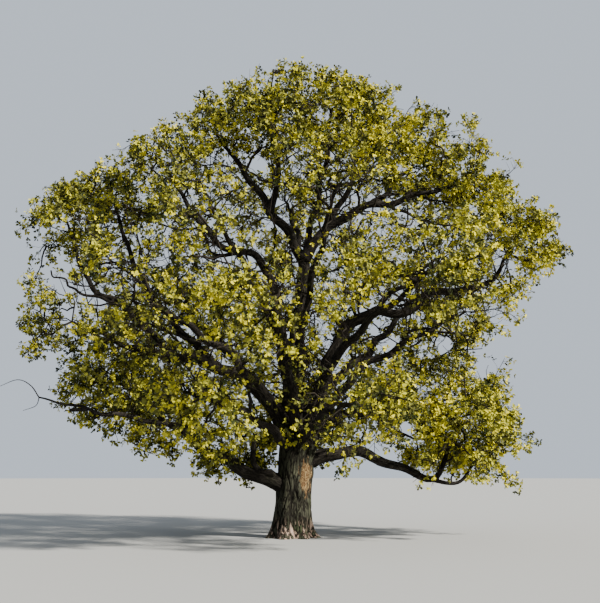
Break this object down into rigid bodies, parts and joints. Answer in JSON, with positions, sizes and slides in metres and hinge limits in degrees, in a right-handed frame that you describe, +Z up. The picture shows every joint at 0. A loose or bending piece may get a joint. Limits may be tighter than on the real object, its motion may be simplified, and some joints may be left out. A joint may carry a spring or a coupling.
{
  "type": "oak tree",
  "caption": "Old oak standing alone, with a short stout trunk, long crooked boughs and a broad open crown of young yellow-green leaves",
  "frame": {"origin": "middle of the flat cut under the trunk, at ground level", "axes": "+Z up along the trunk; seen from the open side of the picture, +X is to the right and +Y points away"},
  "size_m": [28.3426, 26.8163, 24.8172],
  "materials": {
    "bark": "rough, deeply fissured",
    "dead_wood": "weathered, without bark",
    "leaves": "satin young leaves"
  },
  "bodies": {
    "root": {"trunk": "bark", "bough_left_crest": "bark", "bough_left_mid": "bark", "bough_far_right_high": "bark", "bough_left_low": "bark", "bough_right_low": "bark", "bough_left_shoulder": "bark", "bough_right_mid": "bark", "bough_right_high": "bark", "bough_left_high": "bark", "bough_far_left_high": "bark", "bough_right_crest": "bark", "bough_mid_crest": "bark", "bough_right_shoulder": "bark", "bough_right_knoll": "bark", "bough_front_left_low": "bark", "bough_front_right_low": "bark", "bough_right_arch": "bark", "bough_front_mid": "bark", "bough_front_left_mid": "bark", "bough_front_right_mid": "bark", "bough_front_left_high": "bark", "bough_front_right_high": "bark", "bough_back_left_low": "bark", "bough_back_low": "bark", "bough_back_right_low": "bark", "bough_back_left_mid": "bark", "bough_back_mid": "bark", "bough_back_right_mid": "bark", "bough_back_high": "bark", "dead_limb": "dead_wood", "leaves_left_crest": "leaves", "leaves_left_mid": "leaves", "leaves_far_right_high": "leaves", "leaves_left_low": "leaves", "leaves_right_low": "leaves", "leaves_left_shoulder": "leaves", "leaves_right_mid": "leaves", "leaves_right_high": "leaves", "leaves_left_high": "leaves", "leaves_far_left_high": "leaves", "leaves_right_crest": "leaves", "leaves_mid_crest": "leaves", "leaves_right_shoulder": "leaves", "leaves_right_knoll": "leaves", "leaves_front_left_low": "leaves", "leaves_front_right_low": "leaves", "leaves_right_arch": "leaves", "leaves_front_mid": "leaves", "leaves_front_left_mid": "leaves", "leaves_front_right_mid": "leaves", "leaves_front_left_high": "leaves", "leaves_front_right_high": "leaves", "leaves_back_left_low": "leaves", "leaves_back_low": "leaves", "leaves_back_right_low": "leaves", "leaves_back_left_mid": "leaves", "leaves_back_mid": "leaves", "leaves_back_right_mid": "leaves", "leaves_back_high": "leaves"}
  },
  "joints": []
}
